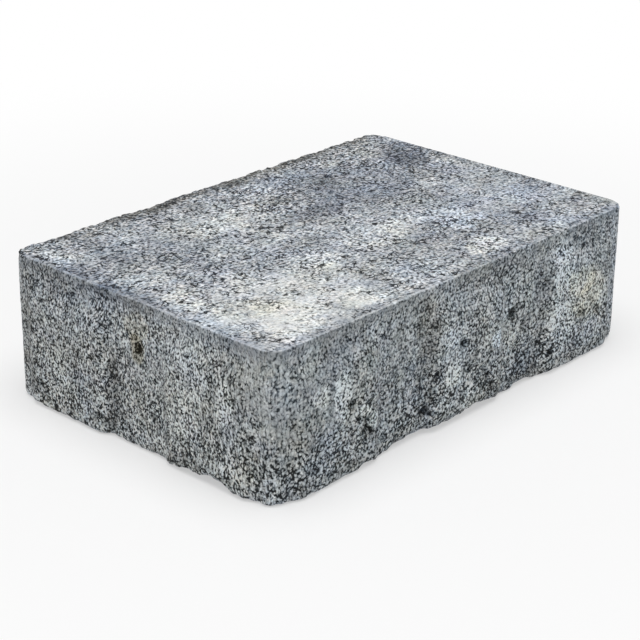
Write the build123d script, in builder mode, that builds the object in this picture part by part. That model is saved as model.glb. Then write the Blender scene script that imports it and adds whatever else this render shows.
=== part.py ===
from build123d import *
import os

# A concrete paver, pressed in one piece in a steel mould. It is a rectangular block with
# rounded upright corners and softened edges. Low, wide spacer lugs stand on its four sides and
# hold the sand joint open between one paver and the next. Each lug is ramped at its ends and
# runs out below the top edge, so the joint looks straight from above.
#
# Millimetres. The origin is the middle of the bed face, +Z is up and +X is along the length.

# The block
length = 210.0
width = 140.0
height = 60.0
corner_radius = 7.0
top_edge_radius = 1.0
bed_edge_chamfer = 1.5

# The spacer lugs
lug_width = 50.0
lug_stand_out = 2.5
lug_end_ramp = 7.0
lug_crown_radius = 12.0
lug_below_top = 7.0
lug_top_ramp = 9.0
lug_root = 1.0
lugs_per_long_side = 3
lugs_per_short_side = 2

lug_height = height - lug_below_top

# Each side: the turn that brings it to the front, how far out it lies, its length and its lugs
sides = [
    (0, width / 2, length, lugs_per_long_side),
    (90, length / 2, width, lugs_per_short_side),
    (180, width / 2, length, lugs_per_long_side),
    (270, length / 2, width, lugs_per_short_side),
]


def lug_pitch(side_length, count):
    """Distance between lugs on a side, where the outer ones start at the corner roundings."""
    return (side_length - 2 * corner_radius - lug_width) / max(count - 1, 1)


# One lug, standing out towards -Y from a side in the XZ plane. Its plan is a low flat hump,
# whose root reaches into the block, and its upright section runs out at the top.
with BuildPart() as lug:
    with BuildSketch():
        with BuildLine():
            Polyline(
                (-lug_width / 2, lug_root),
                (-lug_width / 2, 0),
                (lug_end_ramp - lug_width / 2, -lug_stand_out),
                (lug_width / 2 - lug_end_ramp, -lug_stand_out),
                (lug_width / 2, 0),
                (lug_width / 2, lug_root),
                close=True,
            )
        make_face()
        crown_ends = vertices().group_by(Axis.Y)[0]
        fillet(crown_ends, lug_crown_radius)
    extrude(amount=lug_height)
    with BuildSketch(Plane.YZ):
        with BuildLine():
            Polyline(
                (lug_root, 0),
                (-lug_stand_out, 0),
                (-lug_stand_out, lug_height - lug_top_ramp),
                (0, lug_height),
                (lug_root, lug_height),
                close=True,
            )
        make_face()
    extrude(amount=lug_width / 2, both=True, mode=Mode.INTERSECT)

# The paver: the block with its softened top edge, the lugs on its four sides, and last the
# small chamfer all round the bed face, lugs included.
with BuildPart() as paver:
    with BuildSketch():
        RectangleRounded(length, width, corner_radius)
    extrude(amount=height)
    fillet(faces().sort_by(Axis.Z)[-1].edges(), top_edge_radius)
    for turn, reach, side_length, count in sides:
        with Locations(Plane.XY.rotated((0, 0, turn))):
            with Locations((0, -reach)):
                with GridLocations(lug_pitch(side_length, count), 0, count, 1):
                    add(lug.part)
    chamfer(faces().sort_by(Axis.Z)[0].edges(), bed_edge_chamfer)

paver.part.label = "paver"

os.makedirs("parts", exist_ok=True)
export_step(paver.part, "parts/paver.step")
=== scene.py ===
import math
import bpy
import numpy as np
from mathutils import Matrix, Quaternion, Vector


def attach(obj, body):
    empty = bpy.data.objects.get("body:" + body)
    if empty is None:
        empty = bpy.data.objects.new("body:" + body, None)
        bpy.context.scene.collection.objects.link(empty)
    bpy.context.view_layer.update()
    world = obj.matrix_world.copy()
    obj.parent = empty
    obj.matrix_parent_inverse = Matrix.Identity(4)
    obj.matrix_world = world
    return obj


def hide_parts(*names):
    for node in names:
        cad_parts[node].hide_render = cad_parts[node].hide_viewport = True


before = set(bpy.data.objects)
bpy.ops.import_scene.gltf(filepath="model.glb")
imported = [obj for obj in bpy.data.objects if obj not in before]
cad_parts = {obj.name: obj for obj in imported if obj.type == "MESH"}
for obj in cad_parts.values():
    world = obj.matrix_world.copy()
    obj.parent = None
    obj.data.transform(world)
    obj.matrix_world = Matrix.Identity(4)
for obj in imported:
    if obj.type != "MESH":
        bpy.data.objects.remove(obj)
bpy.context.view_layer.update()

# The camera
# A long lens looks down on the front corner, with the long side to the right and the short side
# to the left. Places are in millimetres, in the paver's own frame.
MM = 0.001
scene = bpy.context.scene
camera_place = (-503.5, -455.7, 311.5)
camera_aim = (-12.4, -6.3, 25.0)
camera_roll = math.radians(0.55)
lens_length = 102.4
sensor_width = 36.0
sight_range = (0.01, 20.0)

lens = bpy.data.cameras.new("camera")
lens.lens = lens_length
lens.sensor_width = sensor_width
lens.clip_start, lens.clip_end = sight_range
camera = bpy.data.objects.new("camera", lens)
camera.location = Vector(camera_place) * MM
camera.rotation_mode = "QUATERNION"
sight_line = Vector(camera_aim) - Vector(camera_place)
level_turn = sight_line.to_track_quat("-Z", "Y")
camera.rotation_quaternion = level_turn @ Quaternion((0, 0, 1), camera_roll)
scene.collection.objects.link(camera)
scene.camera = camera

# The paver
# One block of earth-dry concrete, pressed in a steel mould and stripped upwards. Its skin is open
# and grainy, its flanks are drawn upright by the mould, and the crumbly bed edge is worn. The form,
# the relief and the patches of colour are worked out in millimetres.
half_length = 105.0
half_width = 70.0
height = 60.0
corner_radius = 7.0
top_edge = 0.8
bed_edge = 2.0
lug_width = 50.0
lug_stand_out = 2.5
lug_end_ramp = 7.0
lug_top = 53.0
lug_top_ramp = 9.0
long_side_lugs = 3
short_side_lugs = 2
grid_step = 0.92


def smooth_step(x):
    """3 x squared minus 2 x cubed, for x held between 0 and 1."""
    x = np.clip(x, 0, 1)
    return x * x * (3 - 2 * x)


def lug_hump(along, half_side, count):
    """Share of a lug's stand-out at a place along a side. Each lug rises over its end ramp."""
    pitch = (2 * (half_side - corner_radius) - lug_width) / (count - 1)
    middle = (count - 1) / 2
    nearest = np.clip(np.round(along / pitch + middle), 0, count - 1) - middle
    return smooth_step((lug_width / 2 - np.abs(along - nearest * pitch)) / lug_end_ramp)


def paver_skin(x, y, z):
    """Bends the surface of a plain box of the block's size into the paver's smooth form. In the
    corner squares a point keeps its larger distance from the square's inner corner, and its
    direction, which makes them quarter discs. The lugs then move the flanks straight out."""
    core_x = np.clip(x, corner_radius - half_length, half_length - corner_radius)
    core_y = np.clip(y, corner_radius - half_width, half_width - corner_radius)
    off_x, off_y = x - core_x, y - core_y
    reach = np.maximum(np.abs(off_x), np.abs(off_y))
    bend = reach / np.maximum(np.hypot(off_x, off_y), 1e-9)
    rise = smooth_step((lug_top - z) / lug_top_ramp) * lug_stand_out / corner_radius
    long_hump = lug_hump(x, half_length, long_side_lugs) * (off_x == 0) * rise
    short_hump = lug_hump(y, half_width, short_side_lugs) * (off_y == 0) * rise
    return np.stack([core_x + off_x * (bend + short_hump),
                     core_y + off_y * (bend + long_hump), z + 0 * x], -1)


def edge_inset(turn, radius):
    """How far a rounded edge has drawn in, and how far it still is from the flat, at a turn."""
    return radius * (1 - np.cos(turn)), radius * (1 - np.sin(turn))


def grid_lines(half_side, cells):
    """Lines across the top: two on each rounded edge, and the rest evenly between the edges."""
    edge = half_side - edge_inset(np.radians([45, 67.5]), top_edge)[0]
    between = np.linspace(top_edge - half_side, half_side - top_edge, cells - 3)
    return np.concatenate([-edge, between, edge[::-1]])


def ring_of(grid):
    """What stands round the rim of a grid, anticlockwise from its first corner."""
    return np.concatenate([grid[:-1, 0], grid[-1, :-1], grid[:0:-1, -1], grid[0, :0:-1]])


def quads_of(grid):
    """The faces between the vertex numbers of a grid, anticlockwise."""
    return np.stack([grid[:-1, :-1], grid[1:, :-1], grid[1:, 1:], grid[:-1, 1:]], -1).reshape(-1, 4)


def paver_grid():
    """The smooth paver as one closed net: the top grid, rings down the flanks, and a bed grid of
    half the resolution, joined to the last ring by three triangles for each of its cells."""
    cells_x = 2 * round(half_length / grid_step)
    cells_y = 2 * round(half_width / grid_step)
    x, y = np.meshgrid(grid_lines(half_length, cells_x), grid_lines(half_width, cells_y),
                       indexing="ij")
    inset = np.minimum(half_length - np.abs(x), half_width - np.abs(y))
    drop = top_edge - np.sqrt(top_edge ** 2 - np.clip(top_edge - inset, 0, None) ** 2)
    top = np.arange(x.size).reshape(x.shape)
    skin = [paver_skin(x, y, height - drop).reshape(-1, 3)]

    upper_in, upper_drop = edge_inset(np.radians([22.5, 0]), top_edge)
    lower_in, lower_rise = edge_inset(np.radians([22.5, 45, 67.5]), bed_edge)
    tall = height - top_edge - bed_edge
    even = np.linspace(height - top_edge, bed_edge, round(tall / grid_step) + 1)
    levels = np.concatenate([height - upper_drop, even[1:], lower_rise])
    insets = np.concatenate([upper_in, 0 * even[1:], lower_in])
    rim_x, rim_y = ring_of(x), ring_of(y)
    for level, level_in in zip(levels, insets):
        skin.append(paver_skin(rim_x * (half_length - level_in) / rim_x.max(),
                               rim_y * (half_width - level_in) / rim_y.max(), level))
    rings = top.size + np.arange(levels.size * rim_x.size).reshape(levels.size, -1)

    bed_x, bed_y = x[::2, ::2], y[::2, ::2]
    bed = rings[-1, -1] + 1 + np.arange(bed_x.size).reshape(bed_x.shape)
    skin.append(paver_skin(bed_x * (half_length - bed_edge) / rim_x.max(),
                           bed_y * (half_width - bed_edge) / rim_y.max(), 0.0).reshape(-1, 3))

    flank = np.vstack([ring_of(top), rings])
    flank = np.hstack([flank, flank[:, :1]])
    fine, coarse = flank[-1], ring_of(bed)
    following = np.roll(coarse, -1)
    seam = [np.stack([coarse, fine[1::2], fine[:-1:2]], -1),
            np.stack([coarse, following, fine[1::2]], -1),
            np.stack([following, fine[2::2], fine[1::2]], -1)]
    quads = np.concatenate([quads_of(top), quads_of(flank[::-1].T), quads_of(bed)[:, ::-1]])
    return np.concatenate(skin), quads, np.concatenate(seam)


def outward(points, quads):
    """Unit normals of the net: the quads' own normals, added up at each vertex."""
    corners = points[quads]
    across = np.cross(corners[:, 2] - corners[:, 0], corners[:, 3] - corners[:, 1])
    normals = np.zeros_like(points)
    for corner in quads.T:
        np.add.at(normals, corner, across)
    return normals / np.linalg.norm(normals, axis=1, keepdims=True)


def random_at(cell, seed):
    """Three random numbers from 0 to 1 for each whole-numbered cell, the same on every run. The
    cell's numbers and the seed are multiplied by large odd numbers, joined and then stirred, all
    as whole numbers of 32 bits."""
    factor_x, factor_y, factor_z = 374761393, 668265263, 2246822519
    seed_factor = 3266489917
    stir_factors = np.uint32(2654435761), np.uint32(1274126177)
    count = 2 ** 32
    cell = cell.astype(np.int64).astype(np.uint32)
    code = cell[..., 0] * factor_x ^ cell[..., 1] * factor_y ^ cell[..., 2] * factor_z
    found = []
    for turn in range(3):
        stirred = code + np.uint32((seed * 3 + turn) * seed_factor % count)
        stirred = (stirred ^ (stirred >> 15)) * stir_factors[0]
        stirred = (stirred ^ (stirred >> 13)) * stir_factors[1]
        found.append((stirred ^ (stirred >> 16)) / (count - 1.0))
    return np.stack(found, -1)


def wavy(points, size, seed):
    """Smooth noise from about -1 to 1. Space is cut into cubes with sides of size, every cube
    corner has a random slope, and the eight slopes round a point are blended by smooth steps."""
    gain = 1.6
    place = points / size
    cell = np.floor(place)
    part = place - cell
    blend = part ** 3 * (part * (part * 6 - 15) + 10)
    total = 0
    for corner in np.ndindex(2, 2, 2):
        corner = np.array(corner)
        slope = random_at(cell + corner, seed) * 2 - 1
        share = np.prod(np.where(corner, blend, 1 - blend), -1)
        total = total + share * ((part - corner) * slope).sum(-1)
    return total * gain


def dents(points, size, seed):
    """The upper half of the smooth noise alone: flat stretches with rounded dents between."""
    return np.clip(wavy(points, size, seed), 0, None)


def clouds(points, size, seed):
    """Cloudy noise from -1 to 1 with ragged borders: four sizes of smooth noise, each less than
    half of the one before it, added up and pushed apart by tanh."""
    shares, shrink, push = (0.55, 0.45, 0.35, 0.25), 2.2, 2.4
    total = 0
    for turn, share in enumerate(shares):
        total = total + share * wavy(points, size / shrink ** turn, seed + 100 * turn)
    return np.tanh(push * total)


def squeezed(points, share):
    """Points squeezed along z to a share, so that noise on them comes out drawn upright."""
    return points * (1, 1, share)


def hollows(points, cell_size, share, smallest, largest, seed):
    """Round hollows scattered at random, 0 on the skin and 1 at a hollow's middle. Space is cut
    into cubes, and a share of them hold one each, with a radius between smallest and largest. The
    depth is 1 - (distance / radius) squared."""
    cell = np.floor(points / cell_size)
    deepest = np.zeros(len(points))
    for step in np.ndindex(3, 3, 3):
        near = cell + np.array(step) - 1
        middle = (near + random_at(near, seed)) * cell_size
        luck = random_at(near, seed + 1)
        radius = smallest + (largest - smallest) * luck[:, 1]
        depth = 1 - ((points - middle) ** 2).sum(-1) / radius ** 2
        deepest = np.maximum(deepest, depth * (luck[:, 0] < share))
    return deepest


def blots(points, places, seed, ragged=0.35, fade=0.7):
    """Soft-edged patches, each (x, y, z), (reach along x, y, z) and a row of gains. A patch fades
    out about its reach as a smooth step, and three sizes of noise make its rim ragged."""
    stray = ragged * (wavy(points, 14.0, seed) + 0.6 * wavy(points, 5.0, seed + 1)
                      + 0.4 * wavy(points, 2.4, seed + 2))
    total = 0
    for middle, reach, gains in places:
        away = np.linalg.norm((points - middle) / np.array(reach), axis=1)
        total = total + smooth_step((1 - away + stray) / fade + 0.5)[:, None] * gains
    return total


points, quads, seam = paver_grid()
normals = outward(points, quads)
x, y, z = points.T
out_x, out_y, out_z = normals.T

# Masks, 1 on what they name and 0 elsewhere. The near long side is at -Y and the near short side
# at -X, and the flanks are rougher low down.
turned_from, turned_over = 0.3, 0.6
rough_from, rough_over = 34, 24
on_top = smooth_step((out_z - turned_from) / turned_over)
on_bed = smooth_step((-out_z - turned_from) / turned_over)
on_flank = 1 - on_top - on_bed
low_down = smooth_step((rough_from - z) / rough_over) * on_flank
on_near_short = smooth_step(-out_x) * on_flank
hidden = smooth_step(out_x + out_y) * on_flank

# The skin is tight along the top edge, on a wide band below it and a narrow one above, apart from
# where the edge has crumbled: along the far long side, and here and there on the near one.
crumbled_from, crumbled_over = 9, 5
near_crumbled_from, near_crumbled_over = 15, 25
tight_above, tight_more_below = 1.4, 4.0
from_side = np.minimum(half_width - np.abs(y), half_length - np.abs(x))
from_side = np.clip(from_side, 0, None)
front_corner = np.hypot(x + half_length, y + half_width)
to_rim = np.hypot(height - z, from_side)
to_bed_rim = np.hypot(z, from_side)
far_long = smooth_step((y - half_width + crumbled_from) / crumbled_over)
near_long = smooth_step((-y - half_width + crumbled_from) / crumbled_over)
near_long *= smooth_step((x - near_crumbled_from) / near_crumbled_over)
crumbled = np.maximum(far_long, near_long * smooth_step(0.5 + 2 * wavy(points, 12.0, 18)))
tight = smooth_step(1.2 - to_rim / (tight_above + tight_more_below * on_flank)) * (1 - crumbled)

# Openness is how strongly the fine speckle shows, and coarseness how strongly the larger grains,
# pores and cracks do. Each place is a middle, a reach, and how much more open and coarse it is.
texture_places = [
    ((-70, -45, 60), (32, 24, 9), (-0.25, -0.45)), ((0, 68, 60), (110, 14, 9), (0.25, 0.3)),
    ((-90, -70, 40), (22, 9, 30), (-0.22, -0.15)), ((-105, 40, 30), (9, 28, 34), (0.15, 0.15)),
    ((-105, -62, 36), (9, 12, 30), (-0.2, -0.1)), ((-32, -70, 40), (16, 9, 18), (-0.15, -0.1)),
    ((20, -70, 10), (50, 9, 9), (0.1, 0.15)), ((-105, 45, 5), (9, 12, 6), (0.1, 0.3)),
    ((85, 40, 60), (28, 26, 9), (0.1, 0.35)), ((5, 35, 60), (16, 22, 9), (0.1, 0.4)),
    ((-93, -58, 60), (14, 11, 9), (-0.04, -0.12)),
]
usual_openness, openness_range = 0.84, (0.4, 1.6)
usual_coarseness, coarseness_range = 0.25, (0.1, 1.8)
extra = blots(points, texture_places, 45)
openness = (usual_openness + 0.2 * clouds(points, 17.0, 10) + 0.25 * low_down
            + 0.18 * on_near_short + extra[:, 0])
coarseness = (usual_coarseness + 0.6 * on_top + 0.25 * clouds(points, 13.0, 47)
              + 0.3 * low_down + extra[:, 1])
openness = np.clip(openness, *openness_range) * (1 - 0.4 * tight) * (1 - 0.85 * on_top)
coarseness = np.clip(coarseness, *coarseness_range) * (1 - 0.7 * tight)

# Relief, in millimetres below the mould's surface: a slow swell, the grains, upright drag marks,
# pits all over, voids low down, rock nests, and single holes, each a middle and a radius.
swell_depth, broad_dent, small_dent, drag_depth = 0.15, 0.15, 0.3, 0.1
pit_depth, void_depth, nest_depth, hole_depth = 0.9, 1.5, 1.3, 2.0
swell = swell_depth * (1 + wavy(points, 22.0, 11)) * (1 - tight)
grain = (broad_dent * dents(points, 3.0, 12) + small_dent * dents(points, 1.9, 13)) * coarseness
drag = drag_depth * dents(squeezed(points, 0.25), 2.6, 14) * coarseness * on_flank
pits = hollows(points, 7.0, share=0.24, smallest=0.7, largest=1.4, seed=15) * (1 - tight)
voids = hollows(points, 9.0, share=0.22, smallest=1.2, largest=2.2, seed=17) * low_down
nests = [
    ((-27, -43, 60), (6, 8, 6), (0.7,)), ((6, 35, 60), (8, 7, 6), (0.7,)),
    ((-22, 55, 60), (7, 5, 6), (0.6,)), ((36, 42, 60), (12, 8, 6), (0.5,)),
    ((90, 36, 60), (12, 14, 6), (0.5,)), ((14, 15, 60), (8, 5, 6), (0.4,)),
    ((-56, -70, 18), (7, 9, 8), (0.7,)), ((-22, -70, 17), (7, 9, 16), (0.7,)),
    ((10, -70, 18), (8, 9, 12), (0.6,)), ((42, -70, 10), (13, 9, 6), (0.8,)),
    ((-105, 12, 14), (9, 5, 16), (0.6,)), ((-105, -22, 3), (9, 8, 5), (0.6,)),
    ((-105, 52, 9), (9, 6, 4), (0.6,)),
]
nested = hollows(points, 3.6, share=0.6, smallest=0.8, largest=1.6, seed=23)
nested *= np.clip(blots(points, nests, 25)[:, 0], 0, 1)
deep_holes = [
    ((-4, -71.5, 32), 1.9), ((30, -71, 33.5), 2.2), ((37, -71, 27), 1.5), ((-67, -72, 29), 1.2),
    ((-56, -72, 15), 1.4), ((-24, -71, 10), 1.8), ((0, -72, 20), 1.2), ((12, -72, 14), 1.2),
    ((35, -71, 10), 1.4), ((47, -71, 16), 1.2), ((75, -72, 21), 0.9), ((-106, -2, 41), 1.9),
    ((-106, -15, 25), 0.9), ((-107, 12, 20), 1.1), ((-107, 32, 20), 0.5), ((-106, 53, 10), 1.5),
    ((45, 43, 60), 1.5), ((-59, -72, 17), 1.3), ((-52, -72, 13), 1.2), ((-63, -72, 22), 1.1),
    ((-47, -71, 9), 1.2), ((5, -72, 25), 1.1), ((9, -72, 18), 1.1), ((-19, -72, 24), 1.2),
    ((-28, -71, 33), 1.0), ((15, -72, 9), 1.2), ((54, -72, 10), 1.2), ((-106, 48, 13), 1.2),
    ((-107, 20, 8), 1.1),
]
hole_rim = 0.8 * wavy(points, 2.5, 27)
single = 0
for middle, radius in deep_holes:
    away = np.linalg.norm(points - middle, axis=1) + hole_rim
    single = np.maximum(single, smooth_step(1.5 - away / radius))

# The crumbled top edge has lost crumbs out of its rim
rim_depth, rim_reach = 1.4, 1.8
crumbs = np.clip(0.3 + wavy(points, 4.0, 19) + 0.7 * wavy(points, 2.2, 20), 0, None)
rim_loss = rim_depth * crumbled * np.exp(-to_rim / rim_reach) * crumbs
depth = (swell + grain + drag + pit_depth * pits + void_depth * voids + nest_depth * nested
         + hole_depth * single + rim_loss)
# Painted shade: the hollows darken the colour, the nests and single holes most
shadowed = np.clip(0.6 * pits + 0.6 * voids + nested + single + 0.3 * rim_loss, 0, 1)

# The bed edge is worn all round, and more in places: there it has drawn in and up
worn_places = [
    ((-105, -37, 0), (9, 12, 9), (1.5,)), ((-57, -70, 0), (5, 9, 9), (1.5,)),
    ((-12, -70, 0), (28, 9, 9), (1.6,)), ((38, -70, 0), (6, 9, 9), (1.6,)),
    ((20, 70, 0), (22, 9, 9), (1.5,)), ((105, 20, 0), (9, 18, 9), (1.3,)),
    ((12, -70, 0), (12, 9, 9), (1.2,)), ((-105, -41, 0), (9, 5, 9), (0.8,)),
]
worn_reach, in_for_up = 3.2, 0.5
bed_crumbs = np.clip(0.2 + wavy(points, 9.0, 21) + 0.8 * wavy(points, 3.2, 22), 0, None)
wear = bed_crumbs + blots(points, worn_places, 43)[:, 0]
wear *= np.exp(-(to_bed_rim / worn_reach) ** 2)

# Colour: tone is how light the skin is, from 0 to 1 as the eye sees it, and warmth runs from blue
# at -1 to straw at 1. Each patch is a middle, a reach, and how much lighter and warmer it is.
top_patches = [
    ((-62, -43, 60), (22, 18, 6), (0.05, 0.32)), ((-61, -36, 60), (37, 28, 6), (0.10, 0.15)),
    ((62, -14, 60), (10, 10, 6), (-0.04, -0.2)), ((-60, 63, 60), (36, 5, 6), (-0.05, 0.1)),
    ((40, 64, 60), (50, 5, 6), (-0.05, 0.3)),
    ((-94, -14, 60), (9, 9, 6), (0.11, 0.25)), ((1, -20, 60), (27, 10, 6), (0.11, 0.1)),
    ((44, -27, 60), (11, 13, 6), (0.12, -0.40)), ((27, -58, 60), (10, 7, 6), (0.16, 0.60)),
    ((-25, 34, 60), (25, 14, 6), (0.08, 0.20)), ((-89, 8, 60), (6, 5, 6), (0.06, 0.3)),
    ((-98, 51, 60), (5, 9, 6), (0.16, -0.2)), ((-21, 6, 60), (5, 4, 6), (0.07, 0.2)),
    ((70, 7, 60), (6, 6, 6), (0.11, 0.1)), ((94, 20, 60), (7, 4, 6), (0.12, -0.1)),
    ((54, 28, 60), (48, 26, 6), (-0.08, -0.25)), ((90, 38, 60), (14, 14, 6), (-0.13, -0.3)),
    ((-66, 26, 60), (22, 13, 6), (-0.09, -0.05)), ((18, -36, 60), (13, 7, 6), (-0.04, -0.15)),
    ((6, 35, 60), (6, 6, 6), (-0.03, 0.30)), ((10, 14, 60), (15, 9, 6), (-0.08, -0.1)),
    ((-28, -44, 60), (6, 8, 6), (-0.08, 0.4)), ((70, -38, 60), (32, 24, 6), (0.01, -0.30)),
    ((-37, 33, 60), (7, 6, 6), (0.05, 0.0)), ((-80, 45, 60), (8, 15, 6), (-0.08, -0.1)),
    ((0, 72, 60), (110, 8, 9), (-0.20, 0.8)), ((-101, 4, 60), (5, 25, 6), (-0.11, -0.2)),
    ((-97, 30, 60), (7, 12, 6), (-0.08, -0.25)), ((78, -64, 60), (18, 6, 6), (0.06, 0.0)),
    ((-20, -64, 60), (28, 6, 6), (0.07, 0.0)), ((-78, -62, 60), (20, 6, 6), (0.05, 0.0)),
    ((38, 40, 60), (6, 6, 6), (-0.07, -0.1)), ((56, 54, 60), (6, 5, 6), (0.10, 0.3)),
    ((46, 20, 60), (9, 5, 6), (0.05, -0.3)), ((62, -50, 60), (4, 5, 6), (-0.09, -0.1)),
    ((50, -36, 60), (5, 4, 6), (0.05, -0.3)), ((-20, -3, 60), (12, 6, 6), (-0.05, 0.0)),
    ((-22, 55, 60), (6, 5, 6), (-0.09, 0.4)), ((20, 36, 60), (5, 6, 6), (0.06, 0.2)),
]
long_side_patches = [
    ((-83, -70, 37), (4, 9, 5), (0.17, 0.3)), ((-72, -70, 33), (5, 9, 8), (0.24, 0.1)),
    ((-60, -70, 24), (3, 9, 3), (0.24, 0.2)), ((-54, -70, 18), (3, 9, 3), (0.26, 0.2)),
    ((-67, -70, 28), (2.5, 9, 4), (-0.10, 0.0)), ((-57, -70, 12), (5, 9, 5), (-0.11, 0.0)),
    ((-24, -70, 32), (5, 9, 24), (-0.13, 0.1)), ((-12, -70, 36), (3, 9, 4), (0.10, 0.0)),
    ((-10, -70, 21), (4.5, 9, 5), (0.28, 0.2)), ((1, -70, 8), (4, 9, 5), (0.14, 0.1)),
    ((17, -70, 28), (4, 9, 4), (0.14, -0.6)), ((6, -70, 22), (8, 9, 12), (-0.05, 0.0)),
    ((40, -70, 12), (10, 9, 8), (-0.08, -0.3)), ((60, -70, 32), (8, 9, 26), (0.20, 0.0)),
    ((73, -70, 36), (8, 9, 7), (0.12, 0.7)), ((81, -70, 27), (11, 9, 12), (0.06, 0.8)),
    ((75, -70, 20), (3, 9, 3), (-0.14, 0.2)), ((84, -70, 20), (4, 9, 3), (-0.12, 0.2)),
    ((-94, -70, 16), (6, 9, 14), (0.02, 0.0)), ((-42, -70, 30), (9, 9, 20), (-0.03, 0.0)),
    ((48, -70, 36), (5, 9, 14), (-0.05, -0.2)), ((97, -68, 34), (6, 9, 24), (0.01, -0.5)),
    ((80, -70, 56), (22, 9, 7), (-0.02, -0.3)), ((-25, -70, 57), (30, 9, 5), (-0.01, 0.2)),
    ((0, -70, 53), (95, 9, 3), (-0.03, -0.05)), ((0, -70, 4), (95, 9, 4), (-0.05, 0.1)),
    ((39, -70, 27), (3, 9, 3), (-0.10, -0.4)), ((64, -70, 50), (4, 9, 6), (0.06, 0.0)),
    ((-3, -70, 31), (3, 9, 3), (-0.05, -0.1)),
]
short_side_patches = [
    ((-105, -1, 41), (9, 4, 6), (-0.12, 1.6)), ((-105, -1, 49), (9, 7, 5), (0.0, 0.9)),
    ((-105, 12, 22), (9, 4, 16), (-0.17, -0.1)), ((-105, 14, 6), (9, 6, 4), (-0.17, 0.0)),
    ((-105, -48, 34), (9, 4, 9), (0.27, 0.05)), ((-105, -47, 10), (9, 8, 2.5), (0.25, 0.05)),
    ((-105, -23, 4), (9, 6, 3), (-0.09, 0.0)), ((-105, 62, 12), (9, 7, 8), (-0.06, 0.0)),
    ((-105, -14, 6), (9, 5, 3), (0.26, 0.05)), ((-105, -27, 18), (9, 4, 3), (0.10, 0.3)),
    ((-105, -33, 38), (9, 12, 16), (0.04, 0.0)), ((-105, -66, 15), (9, 5, 13), (-0.05, -0.35)),
    ((-105, 31, 20), (9, 6, 2.5), (-0.03, -0.3)), ((-105, 52, 9), (9, 6, 3), (-0.12, 0.0)),
    ((-105, 34, 44), (9, 12, 9), (0.04, -0.2)), ((-105, 60, 35), (9, 6, 24), (-0.06, 0.1)),
    ((-105, 40, 56), (9, 26, 7), (-0.06, -0.4)), ((-105, 0, 57), (9, 22, 5), (-0.02, -0.5)),
    ((-105, -42, 57), (9, 20, 5), (0.0, -0.3)), ((-105, -11, 19), (9, 4, 3), (0.07, 0.1)),
]
leans = blots(points, top_patches, 31, 0.5)
leans += blots(points, long_side_patches + short_side_patches, 33, 0.4, 0.4)

# The light smears on the flanks are streaky, and the two hidden sides have chance ones. Over the
# whole skin the tone clouds slowly, and the mould has drawn fine upright streaks down the flanks.
usual_tone, lightest_tone = 0.68, 0.86
smeared = np.clip(leans[:, 0], 0, None) * on_flank
leans[:, 0] += smeared * wavy(squeezed(points, 0.35), 3.2, 61)
chance_smears = smooth_step((wavy(squeezed(points, 0.7), 15.0, 41) - 0.25) / 0.35) * hidden
# The flanks are painted a little darker than the top: painted shade
tone = usual_tone - 0.042 * on_flank + leans[:, 0] + 0.12 * chance_smears - 0.025 * low_down
tone += (0.055 + 0.03 * hidden) * clouds(squeezed(points, 0.6), 24.0, 35)
tone += (0.01 + 0.05 * low_down) * on_near_short + 0.02 * clouds(points, 8.0, 53)
tone += 0.04 * wavy(squeezed(points, 0.12), 2.2, 39) * on_flank * (1 - tight)
tone = np.minimum(tone, lightest_tone)

# The top edge has a painted highlight along its very rim, a dull band inside it and a dark one
# below it. The highlight is fainter towards the back, and the band at the near ends of the short
# sides.
rim_highlight_width, dull_middle, dull_width, dark_width = 0.55, 2.6, 1.5, 2.2
painted_rim_highlight = np.exp(-(to_rim / rim_highlight_width) ** 2) * smooth_step((out_z - 0.25) / 0.4)
painted_rim_highlight *= 0.11 - 0.06 * smooth_step((y + 25) / 15)
dull_band = np.exp(-((from_side - dull_middle) / dull_width) ** 2) * on_top
by_short = smooth_step(0.5 + (np.abs(x) - np.abs(y) - (half_length - half_width)) / 8)
dull_band *= 0.09 - 0.08 * by_short * smooth_step((-15 - y) / 12)
dark_band = (0.04 * tight + 0.05 * np.exp(-(to_rim / dark_width) ** 2)) * on_flank
tone += (painted_rim_highlight - dull_band - dark_band) * (1 - crumbled)
openness += 1.2 * smeared

# Warmth goes with the tone on the top face. The hue is what warmth and a green cast add to red,
# green and blue, and it grows with the tone.
usual_warmth, tone_of_usual_warmth = -0.8, 0.71
red_of_warmth, blue_of_warmth = 0.036, -0.041
warmth = usual_warmth + leans[:, 1] + 0.6 * wavy(points, 18.0, 37) + 0.3 * wavy(points, 6.0, 40)
warmth += 0.08 * on_top + 0.42 * on_near_short - 0.2 * tight * on_flank
warmth += 1.7 * (tone - tone_of_usual_warmth) * on_top
green = 0.0095 + 0.0115 * warmth + 0.011 * on_flank - 0.005 * on_near_short
green += 0.009 * wavy(points, 9.0, 51)
hue = np.stack([red_of_warmth * warmth, green, blue_of_warmth * warmth], -1) * tone[:, None]

# The drag marks are strongest about the front corner and come and go elsewhere on the flanks
corner_reach = 32
dragged = 0.55 * np.exp(-(front_corner / corner_reach) ** 2) + 0.35 * dents(points, 30.0, 49)
dragged *= on_flank

paver_mesh = bpy.data.meshes.new("paver_body")
moved = points - normals * (depth + in_for_up * wear * on_flank)[:, None]
moved[:, 2] += wear
paver_mesh.from_pydata((moved * MM).tolist(), [], quads.tolist() + seam.tolist())
paver_mesh.shade_smooth()
numbers_on_skin = {"tone": tone, "openness": openness, "coarseness": coarseness,
                   "shadowed": shadowed, "dragged": dragged}
for name, values in numbers_on_skin.items():
    attribute = paver_mesh.attributes.new(name, "FLOAT", "POINT")
    attribute.data.foreach_set("value", values.astype(np.float32))
attribute = paver_mesh.attributes.new("hue", "FLOAT_VECTOR", "POINT")
attribute.data.foreach_set("vector", hue.ravel().astype(np.float32))
paver = bpy.data.objects.new("paver_body", paver_mesh)
scene.collection.objects.link(paver)


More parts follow.
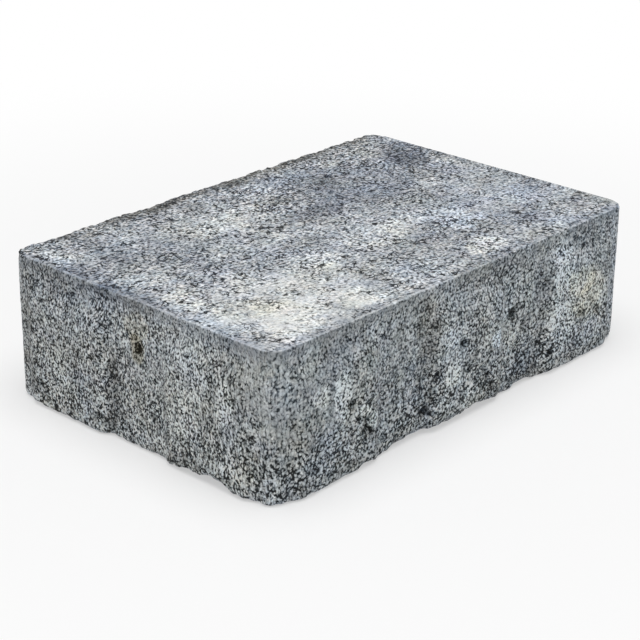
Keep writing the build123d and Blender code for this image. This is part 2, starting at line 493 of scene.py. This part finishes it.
def put(tree, kind, settings=None, **inputs):
    """A new node. Settings are its own properties; each input, named or numbered as in_0, is set
    to a value or linked to another node's output."""
    made = tree.nodes.new(kind)
    for name, value in (settings or {}).items():
        setattr(made, name, value)
    for name, value in inputs.items():
        key = int(name[3:]) if name.startswith("in_") else name.replace("_", " ")
        if isinstance(value, bpy.types.NodeSocket):
            tree.links.new(value, made.inputs[key])
        else:
            made.inputs[key].default_value = value
    return made


def emptied_tree(owner):
    """The node tree of a material or world, with no nodes in it."""
    owner.use_nodes = True
    owner.node_tree.nodes.clear()
    return owner.node_tree


def maths(tree, operation, *values):
    """The result of a maths node on values or other nodes' outputs."""
    numbered = {f"in_{place}": value for place, value in enumerate(values)}
    return put(tree, "ShaderNodeMath", {"operation": operation}, **numbered).outputs[0]


def ease(tree, value, start, end):
    """A smooth step of a value, from 0 at start to 1 at end."""
    made = put(tree, "ShaderNodeMapRange", {"interpolation_type": "SMOOTHSTEP"}, Value=value,
               From_Min=start, From_Max=end, To_Min=0.0, To_Max=1.0)
    return made.outputs["Result"]


def noise(tree, place, per_metre, detail=0.0, roughness=0.5):
    """Smooth noise between 0 and 1, about a half, with so many waves to a metre."""
    return put(tree, "ShaderNodeTexNoise", Vector=place, Scale=per_metre, Detail=detail,
               Roughness=roughness).outputs["Fac"]


def mixed(tree, share, first, second):
    """The first value where the share is 0, the second where it is 1, and a mix between."""
    return put(tree, "ShaderNodeMix", Factor=share, in_2=first, in_3=second).outputs[0]


def weighed(tree, total, parts):
    """The total plus, for each part (value, middle, gain), the gain times what the value is above
    its middle."""
    for value, middle, gain in parts:
        above = maths(tree, "SUBTRACT", value, middle) if middle else value
        total = maths(tree, "MULTIPLY_ADD", above, gain, total)
    return total


def winding_lines(tree, value, core, rim, kept):
    """1 along the lines where a noise crosses its middle, and 0 from rim on either side of them,
    with a smooth step from core to rim. The lines are kept only where the mask kept is 1."""
    off_line = maths(tree, "ABSOLUTE", maths(tree, "SUBTRACT", value, 0.5))
    return maths(tree, "MULTIPLY", kept,
                 maths(tree, "SUBTRACT", 1.0, ease(tree, off_line, core, rim)))


def grains_group():
    """Sand packed grain to grain: cells about random middles, with their borders made wavy by
    noise. Gap is 1 on a border and 0 inside a grain, and Shade is one random number a grain. A
    second noise opens the gaps here and closes them there."""
    tree = bpy.data.node_groups.new("packed_grains", "ShaderNodeTree")
    sockets = tree.interface
    sockets.new_socket("Vector", in_out="INPUT", socket_type="NodeSocketVector")
    sockets.new_socket("Grains per metre", in_out="INPUT", socket_type="NodeSocketFloat")
    sockets.new_socket("Gap width", in_out="INPUT", socket_type="NodeSocketFloat")
    sockets.new_socket("Gap", in_out="OUTPUT", socket_type="NodeSocketFloat")
    sockets.new_socket("Shade", in_out="OUTPUT", socket_type="NodeSocketFloat")
    given = tree.nodes.new("NodeGroupInput").outputs
    place = put(tree, "ShaderNodeVectorMath", {"operation": "SCALE"},
                in_0=given["Vector"], Scale=given["Grains per metre"]).outputs[0]
    stray = put(tree, "ShaderNodeTexNoise", Vector=place, Scale=1.1, Detail=2.0)
    place = put(tree, "ShaderNodeVectorMath", {"operation": "MULTIPLY_ADD"},
                in_0=stray.outputs["Color"], in_1=(1.2, 1.2, 1.2), in_2=place).outputs[0]
    grains = put(tree, "ShaderNodeTexVoronoi", {"feature": "F1"}, Vector=place, Scale=1.0)
    borders = put(tree, "ShaderNodeTexVoronoi", {"feature": "DISTANCE_TO_EDGE"},
                  Vector=place, Scale=1.0)
    filling = noise(tree, place, 0.5, detail=1.0)
    width = maths(tree, "MULTIPLY", given["Gap width"], ease(tree, filling, 0.3, 0.7))
    width = maths(tree, "MAXIMUM", width, 0.01)
    gap = maths(tree, "SUBTRACT", 1.0, ease(tree, borders.outputs["Distance"], 0.0, width))
    shade = put(tree, "ShaderNodeSeparateColor", Color=grains.outputs["Color"])
    put(tree, "NodeGroupOutput", Gap=gap, Shade=shade.outputs["Red"])
    return tree


# The pressed concrete's finish, in metres. The grain is squeezed along z where the mould has
# dragged, which draws it upright. A gap's width is in grains.
grain_squeeze = (0.95, 1.3, 0.9)
drag_squeeze = (0.95, 1.3, 0.25)
sand_per_metre = 700.0
sand_gap_width = 0.28
warm_to_blue = (0.032, 0.0, -0.032)
darkest, lightest = 0.08, 0.97
eye_gamma = 2.2
skin_roughness = 0.92
grain_height = 0.0004

concrete = bpy.data.materials.new("pressed_concrete")
skin_tree = emptied_tree(concrete)
where = put(skin_tree, "ShaderNodeTexCoord").outputs["Object"]
along_grain = put(skin_tree, "ShaderNodeMapping", Vector=where, Scale=grain_squeeze).outputs[0]
along_drag = put(skin_tree, "ShaderNodeMapping", Vector=where, Scale=drag_squeeze).outputs[0]
lean, loose, coarse, hollow_shade, drag_share = [
    put(skin_tree, "ShaderNodeAttribute", {"attribute_name": name}).outputs["Fac"]
    for name in numbers_on_skin]
hue_on_skin = put(skin_tree, "ShaderNodeAttribute", {"attribute_name": "hue"}).outputs["Vector"]

# What the skin is made of: packed sand, a fine speckle and grit, here and there a pore or a crack,
# and seams between the grains. Where the mould has dragged, speckle and seams are drawn upright.
sand = put(skin_tree, "ShaderNodeGroup", {"node_tree": grains_group()}, Vector=along_grain,
           Grains_per_metre=sand_per_metre, Gap_width=sand_gap_width)
gap, shade = sand.outputs["Gap"], sand.outputs["Shade"]
fine = mixed(skin_tree, drag_share, noise(skin_tree, along_grain, 1240.0),
             noise(skin_tree, along_drag, 1150.0))
grit = noise(skin_tree, where, 800.0)
pores = noise(skin_tree, where, 240.0, detail=2.0, roughness=0.7)
pore = maths(skin_tree, "SUBTRACT", 1.0, ease(skin_tree, pores, 0.325, 0.35))
cracked = ease(skin_tree, noise(skin_tree, where, 210.0, detail=1.0, roughness=0.6), 0.5, 0.58)
crack = winding_lines(skin_tree, noise(skin_tree, where, 330.0, detail=1.0, roughness=0.6),
                      0.015, 0.055, cracked)
furrow = mixed(skin_tree, drag_share, noise(skin_tree, along_grain, 700.0),
               noise(skin_tree, along_drag, 800.0))
grain_seam = winding_lines(skin_tree, furrow, 0.0, 0.12, ease(skin_tree, grit, 0.6, 0.4))

# How much lighter or darker than the tone a point is. Light grains are held back, dark gaps are
# deepened, and the hollows get painted shade inside.
speckle = weighed(skin_tree, 0.0, [(fine, 0.5, 1.35), (gap, 0.2, -0.18), (grain_seam, 0.2, -0.45)])
large = weighed(skin_tree, 0.0, [
    (pores, 0.5, 0.1), (grain_seam, 0.2, -0.3), (grit, 0.5, 0.7), (shade, 0.5, 0.15),
    (gap, 0, -0.2), (pore, 0, -0.6), (crack, 0, -0.62)])
stray = maths(skin_tree, "MULTIPLY_ADD", speckle, loose,
              maths(skin_tree, "MULTIPLY", large, coarse))
bent = maths(skin_tree, "MULTIPLY_ADD", stray, -0.9, 1.0)
level = maths(skin_tree, "MULTIPLY_ADD", stray, bent, lean)
# Painted shade in the hollows
level = maths(skin_tree, "MULTIPLY_ADD", hollow_shade, -0.6, level)
level = maths(skin_tree, "MINIMUM", maths(skin_tree, "MAXIMUM", level, darkest), lightest)

# Single grains lean to straw or to blue. The colour is put together as the eye sees it, and the
# last node turns it into the light that the skin sends back.
grain_lean = maths(skin_tree, "MULTIPLY", maths(skin_tree, "SUBTRACT", shade, 0.5),
                   maths(skin_tree, "MULTIPLY_ADD", coarse, 0.6, 0.4))
grain_hue = put(skin_tree, "ShaderNodeVectorMath", {"operation": "MULTIPLY_ADD"},
                in_0=grain_lean, in_1=warm_to_blue, in_2=hue_on_skin).outputs[0]
colour = put(skin_tree, "ShaderNodeVectorMath", {"operation": "ADD"},
             in_0=level, in_1=grain_hue).outputs[0]
base = put(skin_tree, "ShaderNodeGamma", Color=colour, Gamma=eye_gamma)

relief = weighed(skin_tree, maths(skin_tree, "ADD", fine, grit), [(gap, 0, -0.5), (pore, 0, -0.6)])
bump = put(skin_tree, "ShaderNodeBump", Height=maths(skin_tree, "MULTIPLY", relief, loose),
           Distance=grain_height, Strength=1.0)
shader = put(skin_tree, "ShaderNodeBsdfPrincipled", Base_Color=base.outputs[0],
             Roughness=skin_roughness, Normal=bump.outputs["Normal"])
put(skin_tree, "ShaderNodeOutputMaterial", Surface=shader.outputs["BSDF"])
paver_mesh.materials.append(concrete)

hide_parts("paver")
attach(paver, "root")

# The floor and the light
# A wide pale floor under a plain white sky, and one large soft lamp overhead. What the camera
# sees of the floor goes over into the sky's white away from the paver, and keeps its shadow.
floor_half = 4.0
shadow_reach = (0.12, 0.45)
near_white = 0.45
floor_grey = (0.9, 0.9, 0.9, 1)
white = (1, 1, 1, 1)
sky_light = 0.36
lamp_place = (-0.15, -0.15, 1.6)
lamp_size = 1.6
lamp_power = 21.0


def seen_as_backdrop(tree):
    """1 for rays that come straight from the camera, off a gloss or through glass, 0 for light."""
    ray = put(tree, "ShaderNodeLightPath").outputs
    return maths(tree, "MAXIMUM", ray["Is Camera Ray"],
                 maths(tree, "MAXIMUM", ray["Is Glossy Ray"], ray["Is Transmission Ray"]))


floor_mesh = bpy.data.meshes.new("floor")
floor_mesh.from_pydata([(-floor_half, -floor_half, 0), (floor_half, -floor_half, 0),
                        (floor_half, floor_half, 0), (-floor_half, floor_half, 0)],
                       [], [(0, 1, 2, 3)])
floor = bpy.data.objects.new("floor", floor_mesh)
scene.collection.objects.link(floor)
floor_paint = bpy.data.materials.new("floor")
floor_tree = emptied_tree(floor_paint)
off_paver = put(floor_tree, "ShaderNodeVectorMath", {"operation": "LENGTH"},
                in_0=put(floor_tree, "ShaderNodeTexCoord").outputs["Object"]).outputs["Value"]
whiteness = maths(floor_tree, "MULTIPLY_ADD", ease(floor_tree, off_paver, *shadow_reach),
                  1 - near_white, near_white)
matt = put(floor_tree, "ShaderNodeBsdfDiffuse", Color=floor_grey)
glow = put(floor_tree, "ShaderNodeEmission", Color=white, Strength=1.0)
floor_look = put(floor_tree, "ShaderNodeMixShader",
                 in_0=maths(floor_tree, "MULTIPLY", whiteness, seen_as_backdrop(floor_tree)),
                 in_1=matt.outputs[0], in_2=glow.outputs[0])
put(floor_tree, "ShaderNodeOutputMaterial", Surface=floor_look.outputs[0])
floor_mesh.materials.append(floor_paint)

lamp_data = bpy.data.lights.new("lamp", "AREA")
lamp_data.shape = "DISK"
lamp_data.size = lamp_size
lamp_data.energy = lamp_power
lamp = bpy.data.objects.new("lamp", lamp_data)
lamp.location = lamp_place
lamp.rotation_euler = (Vector((0, 0, 0)) - lamp.location).to_track_quat("-Z", "Y").to_euler()
scene.collection.objects.link(lamp)

world = bpy.data.worlds.new("sky")
scene.world = world
sky_tree = emptied_tree(world)
lit = put(sky_tree, "ShaderNodeBackground", Color=white, Strength=sky_light)
backdrop = put(sky_tree, "ShaderNodeBackground", Color=white, Strength=1.0)
sky_look = put(sky_tree, "ShaderNodeMixShader", in_0=seen_as_backdrop(sky_tree),
               in_1=lit.outputs[0], in_2=backdrop.outputs[0])
put(sky_tree, "ShaderNodeOutputWorld", Surface=sky_look.outputs[0])

scene.view_settings.view_transform = "Standard"
